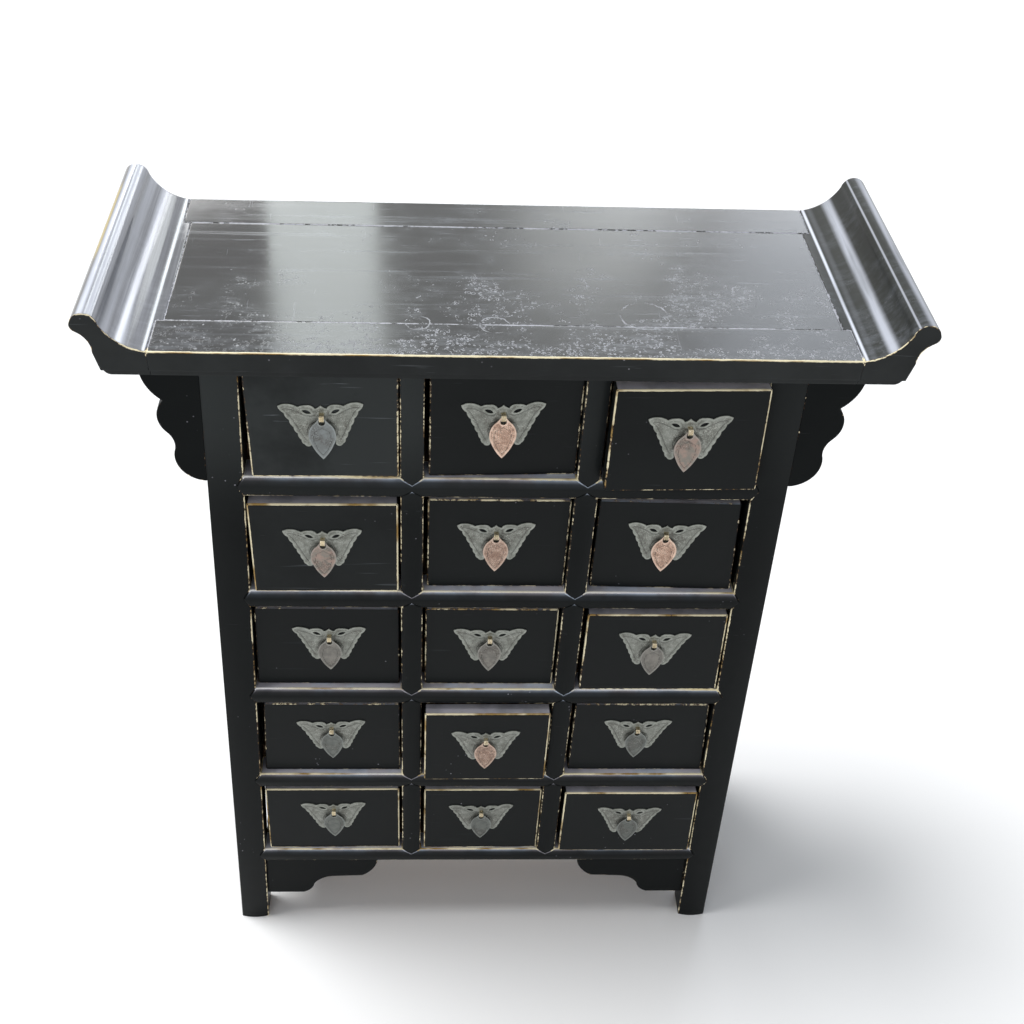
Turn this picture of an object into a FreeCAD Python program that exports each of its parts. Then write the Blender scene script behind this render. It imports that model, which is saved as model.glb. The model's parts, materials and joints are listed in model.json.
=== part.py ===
"""Black lacquer medicine chest: a splayed cabinet on four legs, with a scrolled top and fifteen drawers.

Millimetres. +X is to the right of someone facing the drawers, +Y goes to the back and +Z is up.
The origin is on the floor, at the middle of the chest's outer box. In each drawer's name, r1 is the
top row and c1 the left column.
"""
import FreeCAD, Part
import math
import os

V = FreeCAD.Vector

# Driving sizes of the carcass
FLOOR_WIDTH = 660.0
SPLAY = 0.038           # how far each side leans in, per millimetre of height
BODY_DEPTH = 265.0
BOARD_TOP = 976.0
BOARD_THICK = 30.0
BOARD_OVERHANG_FRONT = 17.0
BOARD_OVERHANG_BACK = 12.0
LEG = 37.0
ARRIS = 2.5             # how far the edges of a rounded front lie behind its crest

# Rails and dividers of the front
RAIL = 26.0
RAIL_DEPTH = 30.0
FIRST_RAIL = 149.0      # middle of the lowest rail
ROW_PITCH = 162.5
ROWS = 5
TOP_RAIL = 5.0
DIVIDER = 24.0
DIVIDER_X = 90.7
MITRE_DEPTH = 10.0      # how deep the pointed shoulders go
MITRE_TIP = 9.0         # how far a divider's point runs into a rail
LEG_TIP = 7.0           # how far a rail's point runs into a leg

# Scrolled top
FLAT_HALF = 336.0
END_STRIP = 8.0
FRONT_RAIL_WIDE = 54.0
BACK_RAIL_WIDE = 52.0
PANEL_THICK = 14.0
PANEL_GAP = 0.8
PANEL_DROP = 0.3
TONGUE = 5.0
TONGUE_THICK = 6.0
TONGUE_UP = 2.0
QUIRK_HIGH = 8.0
QUIRK_BACK = 5.0
BATTEN_WIDE = 42.0
BATTEN_X = 160.0

# Side and back framing
SIDE_RAIL = 24.0
SIDE_RAIL_HIGH = 34.0
SIDE_PANEL = 8.0
SIDE_PANEL_INSET = 8.0
BACK_RAIL = 22.0
BACK_PANEL = 8.0
GROOVE = 5.0

# Brackets
SPANDREL_THICK = 14.0
SPANDREL_BACK = 3.0
APRON_THICK = 12.0
APRON_BACK = 8.0

# Drawer bearers
RUNNER_THICK = 14.0
RUNNER_WIDE = 44.0
GUIDE_WIDE = 12.0
GUIDE_HIGH = 16.0
GUIDE_START = 36.0      # from the front's crest, clear of a front that is pushed right in
OUTER_RUNNER_WIDE = 26.0
OUTER_GUIDE = (-7.0, -1.0)   # its two faces, from the leg's inner face

# Drawers
FRONT_HIGH = 126.6
FRONT_THICK = 16.0
FRONT_EDGE = 1.0
FRONT_CORNER = 2.2
DRAWER_LIFT = 0.4
DRAWER_LONG = 213.0
SIDE_THICK = 9.0
SIDE_HIGH = 98.0
BACK_HIGH = 92.0
BOTTOM_THICK = 5.0
BOTTOM_UP = 4.0
BOX_INSET = 4.0

# Butterfly plate, staple and leaf pull. Their heights count from the plate's own zero, which is
# 22 mm under the tip of its head.
PLATE_THICK = 1.2
STRAP = 0.8
STRAP_WIDE = 5.0
STAPLE_LOW = 5.6        # middle of the leg that the pull hangs on
STAPLE_HIGH = 12.2
STAPLE_STRAIGHT = 4.7
STAPLE_BULGE = 1.6
CLENCH = 7.0            # length of each leg that is bent over inside the drawer
PULL_THICK = 0.8
PIVOT_OUT = 3.8         # from the plate's face to the pull's pivot
EYE_HALF = 3.2
EYE_PLAY = 0.05         # between the eye's rounded top edge and the strap under it

# Travel
FULLY_IN = 12.0         # how far behind the legs' crest a front can be pushed
FULLY_OUT = 160.0
PULL_SWING = 80.0       # beyond this the pull would bind on its staple

# How each drawer stands: out of the front (negative is sunk), turn in degrees, gap to the divider,
# and gap to the leg at its top and bottom edge. The middle column has the first gap at its left.
# Then its plate: how far to the right of the drawer's middle, how far up, and its turn in degrees.
STANCE = {
    "r1c1": (-2.0, 0.4, 1.5, 3.3, 8.9, -0.4, 68.9, 2.0),
    "r1c2": (-7.5, 2.0, 5.0, 0.0, 0.0, -2.6, 68.3, 0.9),
    "r1c3": (14.3, 1.5, 1.8, 1.0, 1.0, 0.1, 70.2, 1.2),
    "r2c1": (-0.7, 0.6, 2.6, 1.4, 6.3, -1.5, 67.8, 0.6),
    "r2c2": (-10.3, 0.3, 4.5, 0.0, 0.0, -2.1, 69.6, 1.1),
    "r2c3": (-9.4, -1.2, 4.0, 6.7, 4.0, -1.7, 72.1, -0.7),
    "r3c1": (-10.0, 0.0, 2.4, 2.0, 2.4, 2.5, 72.0, 0.4),
    "r3c2": (-10.1, 0.0, 3.2, 0.0, 0.0, -1.1, 70.4, 0.4),
    "r3c3": (-2.2, 0.2, 5.4, 2.0, 2.4, -1.0, 73.2, -0.8),
    "r4c1": (-8.9, 0.0, 2.3, 7.4, 6.4, -0.3, 71.5, 1.6),
    "r4c2": (6.5, 0.3, 4.0, 0.0, 0.0, -0.8, 70.2, 1.1),
    "r4c3": (-9.6, 0.0, 5.4, 4.0, 1.2, -3.5, 72.7, 0.6),
    "r5c1": (-5.2, 0.3, 3.8, 4.2, 7.4, 1.0, 73.8, 1.5),
    "r5c2": (-4.5, 0.2, 4.6, 0.0, 0.0, -1.0, 70.8, 1.6),
    "r5c3": (0.9, 0.0, 4.8, 2.6, 3.0, -0.2, 71.1, -0.5),
}
MIDDLE_FRONT = 151.5

# Worked out from the sizes above
BOARD_UNDER = BOARD_TOP - BOARD_THICK
STAPLE_REACH = STAPLE_STRAIGHT + STAPLE_BULGE + STRAP / 2
PIVOT_UP = STAPLE_LOW + STRAP / 2 + EYE_PLAY + PULL_THICK / 2
REACH = max(stance[0] for stance in STANCE.values()) + PLATE_THICK + STAPLE_REACH
BOARD_BACK = BODY_DEPTH + BOARD_OVERHANG_BACK
FRONT_Y = (REACH - BOARD_BACK) / 2      # crest of the legs and rails
RAIL_Z = [FIRST_RAIL + ROW_PITCH * i for i in range(ROWS)]
OPENING_TOP = BOARD_UNDER - TOP_RAIL


def outer(z):
    """Half the body's width at a height."""
    return FLOOR_WIDTH / 2 - SPLAY * z


def inner(z):
    """Half the clear width between the legs at a height."""
    return outer(z) - LEG


def rail_top(i):
    return RAIL_Z[i] + RAIL / 2


def opening_top(i):
    return RAIL_Z[i + 1] - RAIL / 2 if i + 1 < ROWS else OPENING_TOP


def is_arc(step):
    return isinstance(step[0], tuple)


def end_of(step):
    return step[1] if is_arc(step) else step


def face(start, steps, place):
    """A flat face. A step is an end point, or a middle and an end point where the edge is an arc."""
    edges = []
    here = start
    closing = [] if end_of(steps[-1]) == start else [start]
    for step in steps + closing:
        there = end_of(step)
        if is_arc(step):
            edges.append(Part.Arc(place(*here), place(*step[0]), place(*there)).toShape())
        else:
            edges.append(Part.LineSegment(place(*here), place(*there)).toShape())
        here = there
    return Part.Face(Part.Wire(edges))


def with_mirror(start, steps):
    """The steps, and then their mirror image walked back to the start."""
    ends = [start] + [end_of(step) for step in steps[:-1]]
    back = []
    for step, end in zip(reversed(steps), reversed(ends)):
        end = (-end[0], end[1])
        back.append(((-step[0][0], step[0][1]), end) if is_arc(step) else end)
    return steps + back


def upright(start, steps, y, depth):
    """A board that stands across the chest: an outline in X and Z, with its thickness towards the back."""
    return face(start, steps, lambda x, z: V(x, FRONT_Y + y, z)).extrude(V(0, depth, 0))


def block(x, y, z):
    """A rectangular piece from its three spans. Y is counted from the front's crest."""
    return Part.makeBox(x[1] - x[0], y[1] - y[0], z[1] - z[0], V(x[0], FRONT_Y + y[0], z[0]))


def mirrored(shape):
    return shape.mirror(V(0, 0, 0), V(1, 0, 0))


def both_sides(shape):
    return [shape, mirrored(shape)]


def cut(shapes, tools):
    tool = Part.makeCompound(tools)
    return [shape.cut(tool) for shape in shapes]


def leg(y, depth, rounded):
    """The right leg of a pair, leaning with the side."""
    x0, x1 = inner(0), outer(0)
    y0, y1 = FRONT_Y + y, FRONT_Y + y + depth
    if rounded:
        steps = [(((x0 + x1) / 2, y0), (x1, y0 + ARRIS)), (x1, y1), (x0, y1)]
        section = face((x0, y0 + ARRIS), steps, lambda a, b: V(a, b, 0))
    else:
        section = face((x0, y0), [(x1, y0), (x1, y1), (x0, y1)], lambda a, b: V(a, b, 0))
    return section.extrude(V(-SPLAY * BOARD_UNDER, 0, BOARD_UNDER))


def rail_points(i):
    """The right-hand point of a rail, where it runs into the leg."""
    low, mid, high = RAIL_Z[i] - RAIL / 2, RAIL_Z[i], RAIL_Z[i] + RAIL / 2
    return [(inner(low), low), (inner(mid) + LEG_TIP, mid), (inner(high), high)]


def leg_notch(i):
    low, tip, high = rail_points(i)
    return upright(low, [tip, high], 0, MITRE_DEPTH)


def pillow_rail(i):
    """The rounded front of a rail along its whole length."""
    low, high = RAIL_Z[i] - RAIL / 2, RAIL_Z[i] + RAIL / 2
    y0, y1 = FRONT_Y + ARRIS, FRONT_Y + RAIL_DEPTH
    steps = [((FRONT_Y, RAIL_Z[i]), (y0, high)), (y1, high), (y1, low)]
    section = face((y0, low), steps, lambda y, z: V(-FLOOR_WIDTH / 2, y, z))
    return section.extrude(V(FLOOR_WIDTH, 0, 0))


def front_rail(i):
    low, point, high = rail_points(i)
    half = DIVIDER / 2
    left = [(-high[0], high[1]), (-point[0], point[1]), (-low[0], low[1])]
    shoulder = upright(left[2], [low, point, high, left[0], left[1]], 0, MITRE_DEPTH)
    behind = upright(left[2], [low, high, left[0]], MITRE_DEPTH, RAIL_DEPTH - MITRE_DEPTH)
    notches = []
    for x in (-DIVIDER_X, DIVIDER_X):
        top, bottom = RAIL_Z[i] + RAIL / 2, RAIL_Z[i] - RAIL / 2
        notches.append(upright((x - half, top), [(x + half, top), (x, top - MITRE_TIP)], 0, MITRE_DEPTH))
        if i > 0:
            tip = (x, bottom + MITRE_TIP)
            notches.append(upright((x - half, bottom), [tip, (x + half, bottom)], 0, MITRE_DEPTH))
    whole = shoulder.cut(Part.makeCompound(notches)).fuse(behind).removeSplitter()
    return whole.common(pillow_rail(i))


def front_divider(i, x):
    low, high, half = rail_top(i), opening_top(i), DIVIDER / 2
    steps = [(x, low - MITRE_TIP), (x + half, low), (x + half, high)]
    if i + 1 < ROWS:
        steps.append((x, high + MITRE_TIP))
    steps.append((x - half, high))
    shoulder = upright((x - half, low), steps, 0, MITRE_DEPTH)
    behind = block((x - half, x + half), (MITRE_DEPTH, RAIL_DEPTH), (low, high))
    y0, y1 = FRONT_Y + ARRIS, FRONT_Y + RAIL_DEPTH
    steps = [((x, FRONT_Y), (x + half, y0)), (x + half, y1), (x - half, y1)]
    pillow = face((x - half, y0), steps, lambda a, b: V(a, b, 0)).extrude(V(0, 0, BOARD_TOP))
    return shoulder.fuse(behind).removeSplitter().common(pillow)


def side_strip(low, high, near, far, y0, y1):
    """A right-hand piece that leans with the side, between two distances in from its outer face."""
    start = (outer(low) - far, low)
    steps = [(outer(low) - near, low), (outer(high) - near, high), (outer(high) - far, high)]
    return upright(start, steps, y0, y1 - y0)


def cross_piece(low, high, y0, y1, into=0.0):
    """A piece between the left and right legs, with ends that follow their lean."""
    start = (-inner(low) - into, low)
    steps = [(inner(low) + into, low), (inner(high) + into, high), (-inner(high) - into, high)]
    return upright(start, steps, y0, y1 - y0)


def make_sides_and_legs():
    front = leg(0, LEG, True)
    front = front.cut(Part.makeCompound([leg_notch(i) for i in range(ROWS)]))
    back = leg(BODY_DEPTH - LEG, LEG, False)
    legs = both_sides(front) + both_sides(back)

    bottom = RAIL_Z[0] - RAIL / 2
    spans = [
        (bottom, bottom + SIDE_RAIL_HIGH),
        (RAIL_Z[2] - SIDE_RAIL_HIGH / 2, RAIL_Z[2] + SIDE_RAIL_HIGH / 2),
        (BOARD_UNDER - SIDE_RAIL_HIGH, BOARD_UNDER),
    ]
    y0, y1 = LEG, BODY_DEPTH - LEG
    rails = []
    for low, high in spans:
        rails += both_sides(side_strip(low, high, 0, SIDE_RAIL, y0, y1))
    panels = []
    for below, above in zip(spans, spans[1:]):
        panel = side_strip(below[1] - GROOVE, above[0] + GROOVE, SIDE_PANEL_INSET,
                           SIDE_PANEL_INSET + SIDE_PANEL, y0 - GROOVE, y1 + GROOVE)
        panels += both_sides(panel)

    levels = [(z - RAIL / 2, z + RAIL / 2) for z in RAIL_Z] + [(BOARD_UNDER - RAIL, BOARD_UNDER)]
    back_y = BODY_DEPTH - LEG
    back_rails = [cross_piece(low, high, back_y, back_y + BACK_RAIL) for low, high in levels]
    board_y = back_y + BACK_RAIL
    seams = [bottom, RAIL_Z[2], RAIL_Z[4], BOARD_UNDER]
    boards = []
    for low, high in zip(seams, seams[1:]):
        boards.append(cross_piece(low, high, board_y, board_y + BACK_PANEL, GROOVE))

    return {
        "legs": cut(legs, panels + boards),
        "side_rails": cut(rails, panels),
        "side_panels": panels,
        "back_rails": back_rails,
        "back_panels": boards,
    }


def make_front():
    rails = [front_rail(i) for i in range(ROWS)]
    rails.append(cross_piece(OPENING_TOP, BOARD_UNDER, ARRIS, RAIL_DEPTH))
    dividers = [front_divider(i, x) for i in range(ROWS) for x in (-DIVIDER_X, DIVIDER_X)]
    return {"front_rails": rails, "front_dividers": dividers}


def make_bearers():
    """Runners that carry the drawers and, on them, the guides that keep them straight."""
    back = BODY_DEPTH - LEG
    pieces = []
    for i in range(ROWS):
        top = rail_top(i)
        edge = inner(top)
        runners = [
            (DIVIDER_X - RUNNER_WIDE / 2, DIVIDER_X + RUNNER_WIDE / 2),
            (edge - OUTER_RUNNER_WIDE, edge),
        ]
        guides = [
            (DIVIDER_X - GUIDE_WIDE / 2, DIVIDER_X + GUIDE_WIDE / 2),
            (edge + OUTER_GUIDE[0], edge + OUTER_GUIDE[1]),
        ]
        for across in runners:
            pieces += both_sides(block(across, (RAIL_DEPTH, back), (top - RUNNER_THICK, top)))
        for across in guides:
            pieces += both_sides(block(across, (GUIDE_START, back), (top, top + GUIDE_HIGH)))
    return {"drawer_runners": pieces}


def end_profile():
    """The right-hand scroll, from the flat of the top out and round to its under side."""
    top, under = BOARD_TOP, BOARD_UNDER
    start = (FLAT_HALF, top)
    steps = [
        ((358.5, top + 8.5), (376.0, top + 29.5)),
        ((388.5, top + 40.5), (401.2, top + 31.0)),
        ((402.0, top + 25.5), (398.0, top + 20.5)),
        ((389.5, top + 13.0), (385.6, top - 2.0)),
        (380.6, top - 22.0),
        ((377.5, under + 2.2), (371.0, under)),
        (FLAT_HALF, under),
    ]
    return start, steps


def make_top():
    y0, y1 = -BOARD_OVERHANG_FRONT, BOARD_BACK
    panel_y = (y0 + FRONT_RAIL_WIDE, y1 - BACK_RAIL_WIDE)
    panel_x = FLAT_HALF - END_STRIP
    half, wide = panel_x - PANEL_GAP, panel_x + TONGUE
    low = BOARD_TOP - PANEL_THICK
    board_z = (BOARD_UNDER, BOARD_TOP)
    field_y = (panel_y[0] + PANEL_GAP, panel_y[1] - PANEL_GAP)
    field = block((-half, half), field_y, (low, BOARD_TOP - PANEL_DROP))
    tongue_y = (panel_y[0] - TONGUE, panel_y[1] + TONGUE)
    tongue = block((-wide, wide), tongue_y, (low + TONGUE_UP, low + TONGUE_UP + TONGUE_THICK))
    panel = field.fuse(tongue).removeSplitter()

    quirk_z = (BOARD_UNDER - QUIRK_HIGH, BOARD_UNDER + QUIRK_HIGH)
    quirk = block((-FLOOR_WIDTH, FLOOR_WIDTH), (y0, y0 + QUIRK_BACK), quirk_z)
    start, steps = end_profile()
    end = upright(start, steps, y0, y1 - y0)
    strip = block((panel_x, FLAT_HALF), panel_y, board_z)
    end = end.fuse(strip).removeSplitter().cut(quirk).cut(panel)
    flat = (-FLAT_HALF, FLAT_HALF)
    rails = [block(flat, (y0, panel_y[0]), board_z).cut(quirk), block(flat, (panel_y[1], y1), board_z)]
    across = (BATTEN_X - BATTEN_WIDE / 2, BATTEN_X + BATTEN_WIDE / 2)
    battens = both_sides(block(across, panel_y, (BOARD_UNDER, low)))
    return {
        "top_panel": [panel],
        "top_rails": cut(rails, [panel]),
        "scroll_end_left": [mirrored(end)],
        "scroll_end_right": [end],
        "top_battens": battens,
    }


def make_spandrels():
    """The scalloped brackets between the legs and the overhanging top, at the front and at the back."""
    top = BOARD_UNDER
    start = (outer(top), top)
    steps = [
        (351.5, top),
        ((346.0, 921.0), (332.5, 905.0)),
        ((340.6, 883.0), (334.0, 867.5)),
        ((328.2, 858.5), (327.2, 846.0)),
        ((322.6, 816.5), (outer(804.5), 804.5)),
    ]
    front = upright(start, steps, SPANDREL_BACK, SPANDREL_THICK)
    back = upright(start, steps, BODY_DEPTH - SPANDREL_BACK - SPANDREL_THICK, SPANDREL_THICK)
    return {"spandrels": both_sides(front) + both_sides(back)}


def make_aprons():
    """The stepped brackets under the lowest rail."""
    top = RAIL_Z[0] - RAIL / 2
    start = (137.0, top)
    steps = [
        ((143.2, 107.0), (158.0, 91.0)),
        (197.0, 89.0),
        ((213.5, 84.0), (225.5, 70.5)),
        ((231.5, 57.0), (241.0, 50.5)),
        (inner(50.5), 50.5),
        (inner(top), top),
    ]
    return {"aprons": both_sides(upright(start, steps, APRON_BACK, APRON_THICK))}


def lobes(points, bulge):
    """Arcs from point to point, each swelling out to the left of the way the edge runs."""
    steps = []
    for (ax, az), (bx, bz) in zip(points, points[1:]):
        long = math.hypot(bx - ax, bz - az)
        out = bulge / long
        middle = ((ax + bx) / 2 - (bz - az) * out, (az + bz) / 2 + (bx - ax) * out)
        steps.append((middle, (bx, bz)))
    return steps


def plate_face(place):
    """The butterfly: its outline, with a slot in each wing."""
    head = (0.0, 22.1)
    brow = [
        ((3.2, 19.2), (5.8, 18.1)),
        ((9.6, 22.1), (14.0, 22.6)),
        ((18.4, 22.4), (22.4, 20.8)),
        ((29.5, 24.4), (37.5, 24.6)),
        (41.8, 22.6),
    ]
    edge = [(41.8, 22.6), (36.4, 14.2), (32.0, 5.6), (28.3, -3.4), (24.7, -11.6), (21.8, -19.4), (19.0, -25.4)]
    foot = [((15.6, -28.0), (11.8, -25.2)), ((10.4, -14.0), (5.0, -7.5)), (0.0, -6.0)]
    outline = face(head, with_mirror(head, brow + lobes(edge, 1.1) + foot), place)
    slots = []
    for side in (-1, 1):
        near, far = (side * 9.8, 12.6), (side * 18.6, 16.7)
        slots.append(face(near, [((side * 13.5, 16.7), far), ((side * 14.8, 12.8), near)], place))
    return outline.cut(Part.makeCompound(slots)).Faces[0]


def pull_face(place):
    """The leaf and its eye. Its pivot is at zero."""
    start = (0.0, 3.05)
    side = [
        (2.6, 3.05),
        ((5.6, -1.45), (9.4, -5.55)),
        ((13.5, -16.35), (11.2, -29.05)),
        ((6.3, -39.45), (0.0, -48.05)),
    ]
    leaf = face(start, with_mirror(start, side), place)
    rim = [(EYE_HALF, 0.0), (EYE_HALF, -2.65), ((0.0, -5.85), (-EYE_HALF, -2.65))]
    return leaf.cut(face((-EYE_HALF, 0.0), rim, place)).Faces[0]


def make_staple(x, y_face, z):
    """A strap bent through the plate, with both legs clenched inside the drawer."""
    half, low, high = STRAP / 2, z + STAPLE_LOW, z + STAPLE_HIGH
    mid = (low + high) / 2
    y_straight = y_face - STAPLE_STRAIGHT
    y_inside = y_face + PLATE_THICK + FRONT_THICK

    def loop(grow, y_end):
        steps = [
            (y_straight, high + grow),
            ((y_straight - STAPLE_BULGE - grow, mid), (y_straight, low - grow)),
            (y_end, low - grow),
        ]
        return face((y_end, high + grow), steps, lambda y, h: V(x - STRAP_WIDE / 2, FRONT_Y + y, h))

    band = loop(half, y_inside + STRAP).cut(loop(-half, y_inside + STRAP))
    strap = band.extrude(V(STRAP_WIDE, 0, 0))
    span_x = (x - STRAP_WIDE / 2, x + STRAP_WIDE / 2)
    up = block(span_x, (y_inside, y_inside + STRAP), (high, high + CLENCH))
    down = block(span_x, (y_inside, y_inside + STRAP), (low - CLENCH, low))
    return strap.fuse([up, down]).removeSplitter()


def stance_of(name):
    """Where a drawer's front stands: its corners in X, its lower and upper edge, its face and its turn."""
    row, column = int(name[1]), int(name[3])
    out, turn, gap, gap_top, gap_bottom = STANCE[name][:5]
    low = rail_top(ROWS - row) + DRAWER_LIFT
    high = low + FRONT_HIGH
    near = DIVIDER_X + DIVIDER / 2 + gap
    far_low, far_high = inner(low) - gap_bottom, inner(high) - gap_top
    if column == 1:
        corners = (-far_low, -near, -far_high, -near)
    elif column == 2:
        left = gap - DIVIDER_X + DIVIDER / 2
        corners = (left, left + MIDDLE_FRONT, left, left + MIDDLE_FRONT)
    else:
        corners = (near, far_low, near, far_high)
    return {"x": corners, "low": low, "high": high, "y": -out, "turn": turn}


def centre_of(name):
    """The point that a drawer turns about, seen from above, and its plate's own zero."""
    place = stance_of(name)
    x = sum(place["x"]) / 4
    shift, up = STANCE[name][5:7]
    return V(x, FRONT_Y + place["y"], 0), V(x + shift, FRONT_Y + place["y"], place["low"] + up)


def pivot_of(name):
    """The point that a drawer's pull swings about."""
    centre, plate = centre_of(name)
    turned = FreeCAD.Rotation(V(0, 0, 1), stance_of(name)["turn"])
    pivot = plate + V(0, -PLATE_THICK - PIVOT_OUT, PIVOT_UP)
    return centre + turned.multVec(pivot - centre)


def make_drawer(name):
    place = stance_of(name)
    left_low, right_low, left_high, right_high = place["x"]
    low, high, y = place["low"], place["high"], place["y"]
    centre, zero = centre_of(name)

    corners = [(right_low, low), (right_high, high), (left_high, high)]
    front = upright((left_low, low), corners, y, FRONT_THICK)
    deep = [edge for edge in front.Edges if abs(edge.tangentAt(0).y) > 0.9]
    front = front.makeFillet(FRONT_CORNER, deep)
    outer_face = min(front.Faces, key=lambda side: side.CenterOfMass.y)
    front = front.makeChamfer(FRONT_EDGE, outer_face.Edges)
    left, right = max(left_low, left_high) + BOX_INSET, min(right_low, right_high) - BOX_INSET
    back_y = y + DRAWER_LONG
    inside_x = (left + SIDE_THICK, right - SIDE_THICK)
    inside_y = (y + FRONT_THICK, back_y - SIDE_THICK)
    box = [
        block((left, inside_x[0]), (inside_y[0], back_y), (low, low + SIDE_HIGH)),
        block((inside_x[1], right), (inside_y[0], back_y), (low, low + SIDE_HIGH)),
        block(inside_x, (inside_y[1], back_y), (low, low + BACK_HIGH)),
        block(inside_x, inside_y, (low + BOTTOM_UP, low + BOTTOM_UP + BOTTOM_THICK)),
    ]

    staple = make_staple(zero.x, y - PLATE_THICK, zero.z)
    plate = plate_face(lambda u, v: zero + V(u, -PLATE_THICK, v)).extrude(V(0, PLATE_THICK, 0))
    plate.rotate(zero, V(0, 1, 0), -STANCE[name][7])
    hang = zero + V(0, -PLATE_THICK - PIVOT_OUT, PIVOT_UP)
    leaf = pull_face(lambda u, v: hang + V(u, -PULL_THICK / 2, v)).extrude(V(0, PULL_THICK, 0))
    bead = Part.makeCylinder(PULL_THICK / 2, 2 * EYE_HALF, hang - V(EYE_HALF, 0, 0), V(1, 0, 0))
    pull = leaf.fuse(bead).removeSplitter()

    groups = {
        "drawer_" + name: cut([front], [staple]) + box,
        "butterfly_" + name: [plate.cut(staple), staple],
        "pull_" + name: [pull],
    }
    for pieces in groups.values():
        for piece in pieces:
            piece.rotate(centre, V(0, 0, 1), place["turn"])
    return groups


def main():
    os.makedirs("parts", exist_ok=True)
    nodes = {}
    for make in (make_sides_and_legs, make_front, make_bearers, make_top, make_spandrels, make_aprons):
        nodes.update(make())
    for name in STANCE:
        nodes.update(make_drawer(name))
    for node, pieces in nodes.items():
        whole = [solid for piece in pieces for solid in piece.Solids]
        shape = whole[0] if len(whole) == 1 else Part.makeCompound(whole)
        shape.exportStep(os.path.join("parts", node + ".step"))


if __name__ == "__main__":
    main()
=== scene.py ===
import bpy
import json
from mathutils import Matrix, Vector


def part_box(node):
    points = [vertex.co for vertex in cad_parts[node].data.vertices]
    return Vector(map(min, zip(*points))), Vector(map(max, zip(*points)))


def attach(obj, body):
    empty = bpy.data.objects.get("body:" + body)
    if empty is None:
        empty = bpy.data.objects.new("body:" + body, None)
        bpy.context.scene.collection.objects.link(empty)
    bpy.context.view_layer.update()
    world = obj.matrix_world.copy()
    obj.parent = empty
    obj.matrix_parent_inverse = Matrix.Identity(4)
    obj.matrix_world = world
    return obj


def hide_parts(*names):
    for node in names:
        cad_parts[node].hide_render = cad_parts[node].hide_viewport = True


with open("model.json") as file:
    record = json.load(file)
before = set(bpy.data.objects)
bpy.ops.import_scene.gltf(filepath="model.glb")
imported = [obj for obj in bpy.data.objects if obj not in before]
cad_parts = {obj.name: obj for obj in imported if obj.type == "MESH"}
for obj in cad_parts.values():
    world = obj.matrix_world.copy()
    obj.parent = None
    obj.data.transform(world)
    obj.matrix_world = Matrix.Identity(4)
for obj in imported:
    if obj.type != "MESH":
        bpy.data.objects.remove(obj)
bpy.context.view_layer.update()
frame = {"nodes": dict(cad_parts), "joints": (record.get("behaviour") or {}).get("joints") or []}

import functools
import json
import math

import bmesh
import bpy
import numpy as np
from mathutils import Matrix, Vector

# All sizes and places are in metres, in the CAD model's frame, except where a comment says otherwise.

ROWS, COLUMNS = 5, 3
DRAWERS = [f"r{row}c{column}" for row in range(1, ROWS + 1) for column in range(1, COLUMNS + 1)]

# The photograph's camera: its place, its turns in radians, and the rest in the photograph's pixels
CAMERA_PLACE = (-0.0798, -1.1610, 1.6733)
CAMERA_PITCH, CAMERA_YAW, CAMERA_ROLL = -0.717961, 0.056118, 0.045892
PHOTO_SIDE = 1024
FOCAL_LENGTH = 1315.16
AXIS_PIXEL = (478.05, 511.54)

# Legs, rails, dividers and drawer fronts
FLOOR_HALF = 0.330          # half the width across the feet
SPLAY = 0.038               # how far each side leans in, per metre of height
LEG = 0.037
FIRST_RAIL, ROW_PITCH = 0.149, 0.1625
RAIL_Z = [FIRST_RAIL + ROW_PITCH * row for row in range(ROWS)]
RAIL_HALF = 0.013
DIVIDER_X, DIVIDER_HALF = 0.0907, 0.012
LEG_FRONT_Y = -0.110        # a leg's front lies before this
FRONT_THICK = 0.016
FRONT_ARRIS = 0.006         # how far behind a drawer's front face its front edges end
FRONT_BAND = 0.0035         # how far from its edge a drawer front's wear reaches

# The top's boards, from the frame
TOP_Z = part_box("top_rails")[1].z
WORN_Z = TOP_Z - 0.0035     # their worn upper edges lie above this
CUT_Z = TOP_Z - 0.0038      # a cut round the boards, which ends the wear
JOINT_Z = TOP_Z - 0.004     # the worn edges of the scrolls' joints lie above this
TONGUE_Z = TOP_Z - 0.006    # the panel's tongues lie below this
UNDER_Z = TOP_Z - 0.014     # their undersides lie below this
TOP_FRONT_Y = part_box("top_rails")[0].y + 0.003      # their front edges lie before this
JOINTS_X, JOINTS_Y = 0.335, 0.13    # the joints lie inside these
SCROLL_X = 0.34             # the scrolls rise outside this
PANEL_REACH = 0.0011        # how far the panel's upper edges come out towards its frame

# Stretches over which a look comes on, each from where it starts to where it is full
HIGH_Z, HIGH_X = (0.74, 0.90), (0.20, -0.10)    # the frame's lacquer, greyed by a painted sheen
LEDGE_Y = (-0.110, -0.1245)         # dust on the rails
SCUFF_X, SCUFF_Y = (-0.26, -0.06), (0.05, -0.135)
FRONT_SCUFF_Y = (-0.112, -0.134)    # more scuffs along the top's front edge
JOINT_Y = (-0.141, -0.136)          # the pale wear of the top's joints, in place of its front edge's cream
ROUGH_X = (-0.16, 0.02)             # the top's duller side
SCROLL_SHEEN_X = (-0.345, -0.365)           # the left scroll's painted sheen
STRIP_X = (-0.3938, -0.3960)        # the olive strip along its outer edge
GOLD_FRONT_Y, GOLD_BACK_Y = (-0.055, -0.02), (0.12, 0.09)   # the gold on that strip, from both ends

SHAKE = 0.005               # how far the lines of scuffs and rings stray

# Rounded and worn edges
RING = 0.0012               # how far inside its edges a face's wear ends
SHARP_TURN = math.radians(28)       # edges that turn more are rounded
SMOOTH_TURN = math.radians(35)      # edges that turn less are shaded smooth

# Thin metal sheets
NET = 0.0010                # mesh size of a sheet's relief
NEAR_FRONT = 1e-5           # what lies nearer to a sheet's front face belongs to it

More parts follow.
